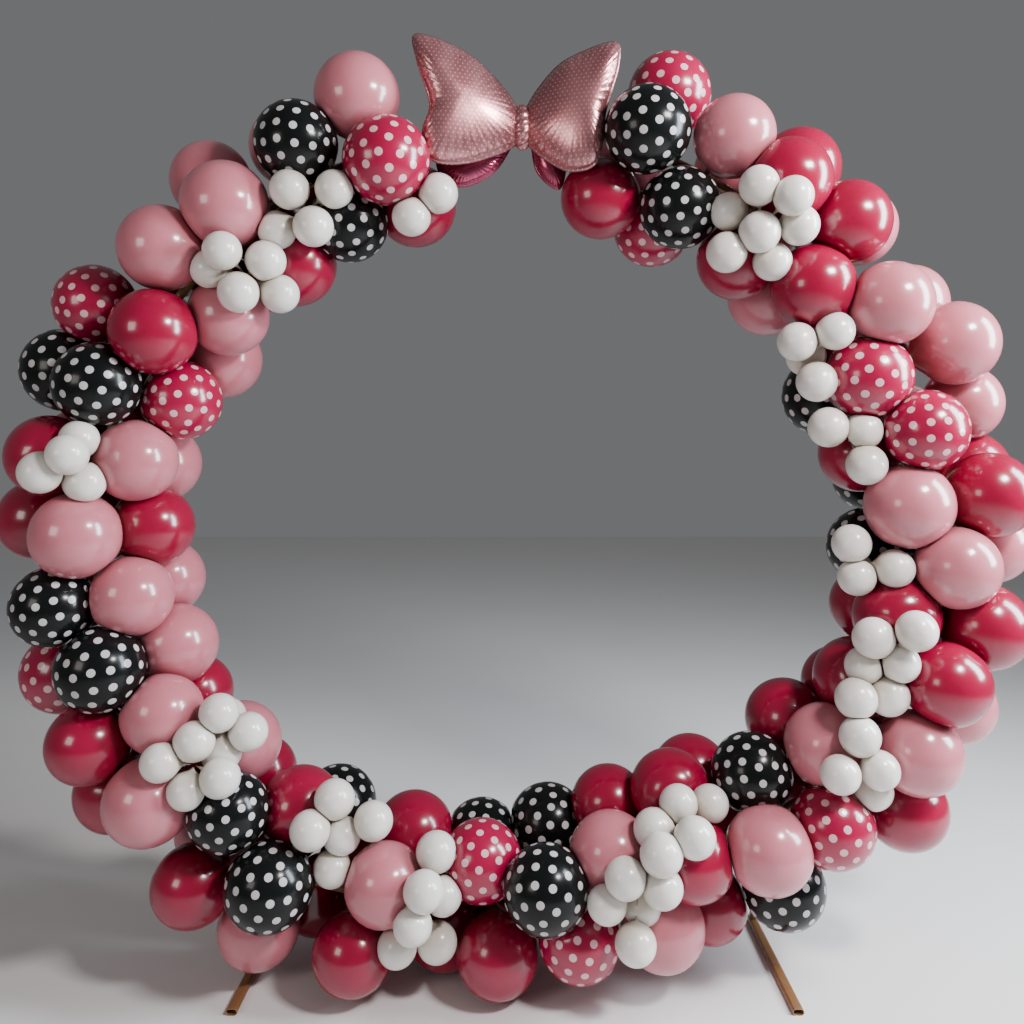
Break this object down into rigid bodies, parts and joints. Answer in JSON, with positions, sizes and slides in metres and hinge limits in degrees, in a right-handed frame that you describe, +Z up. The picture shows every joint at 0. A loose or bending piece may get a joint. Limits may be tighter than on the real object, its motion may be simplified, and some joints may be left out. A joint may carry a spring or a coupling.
{
  "type": "balloon hoop arch",
  "caption": "Closed upright hoop of latex balloons tied round a tube frame on two floor feet, with small white balloon flowers and a puffed foil bow at the top.",
  "frame": {"origin": "middle of the bounding box at floor level, under the hoop", "axes": "+X to the right across the hoop as seen from the front, -Y towards the front, +Z up"},
  "size_m": [2.9818, 0.6742, 2.6429],
  "materials": {
    "latex_pink": "glossy pale pink latex",
    "latex_red": "glossy crimson latex",
    "latex_red_dotted": "glossy crimson latex printed with pale dots",
    "latex_black_dotted": "glossy black latex printed with pale dots",
    "latex_white": "pearly white latex",
    "foil_rose": "dusty rose metallised film with faint small dots",
    "foil_magenta": "magenta metallised film",
    "tube_bronze": "brown painted tube"
  },
  "bodies": {
    "root": {"balloon_cluster_01": "latex_black_dotted", "balloon_cluster_02": "latex_black_dotted", "balloon_cluster_03": "latex_red", "balloon_cluster_04": "latex_red", "balloon_cluster_05": "latex_pink", "balloon_cluster_06": "latex_red_dotted", "balloon_cluster_07": "latex_red_dotted", "balloon_cluster_08": "latex_pink", "balloon_cluster_09": "latex_pink", "balloon_cluster_10": "latex_red", "balloon_cluster_11": "latex_red", "balloon_cluster_12": "latex_pink", "balloon_cluster_13": "latex_pink", "balloon_cluster_14": "latex_pink", "balloon_cluster_15": "latex_pink", "balloon_cluster_16": "latex_red", "balloon_cluster_17": "latex_pink", "balloon_cluster_18": "latex_black_dotted", "balloon_cluster_19": "latex_red_dotted", "balloon_cluster_20": "latex_red", "balloon_cluster_21": "latex_pink", "balloon_cluster_22": "latex_red", "balloon_cluster_23": "latex_black_dotted", "balloon_cluster_24": "latex_black_dotted", "balloon_cluster_25": "latex_pink", "balloon_cluster_26": "latex_pink", "balloon_cluster_27": "latex_black_dotted", "balloon_cluster_28": "latex_pink", "balloon_cluster_29": "latex_pink", "balloon_cluster_30": "latex_pink", "balloon_cluster_31": "latex_black_dotted", "balloon_cluster_32": "latex_red", "balloon_cluster_33": "latex_pink", "balloon_cluster_34": "latex_pink", "balloon_cluster_35": "latex_black_dotted", "balloon_cluster_36": "latex_red_dotted", "white_flower_01": "latex_white", "white_flower_02": "latex_white", "white_flower_03": "latex_white", "white_flower_04": "latex_white", "white_flower_05": "latex_white", "white_flower_06": "latex_white", "white_flower_07": "latex_white", "white_flower_08": "latex_white", "white_flower_09": "latex_white", "white_flower_10": "latex_white", "white_flower_11": "latex_white", "white_flower_12": "latex_white", "white_flower_13": "latex_white", "white_flower_14": "latex_white", "white_flower_15": "latex_white", "white_flower_16": "latex_white", "hoop_tube": "tube_bronze", "foot_right": "tube_bronze", "foot_left": "tube_bronze", "bow_front": "foil_rose", "bow_back": "foil_magenta"}
  },
  "joints": []
}
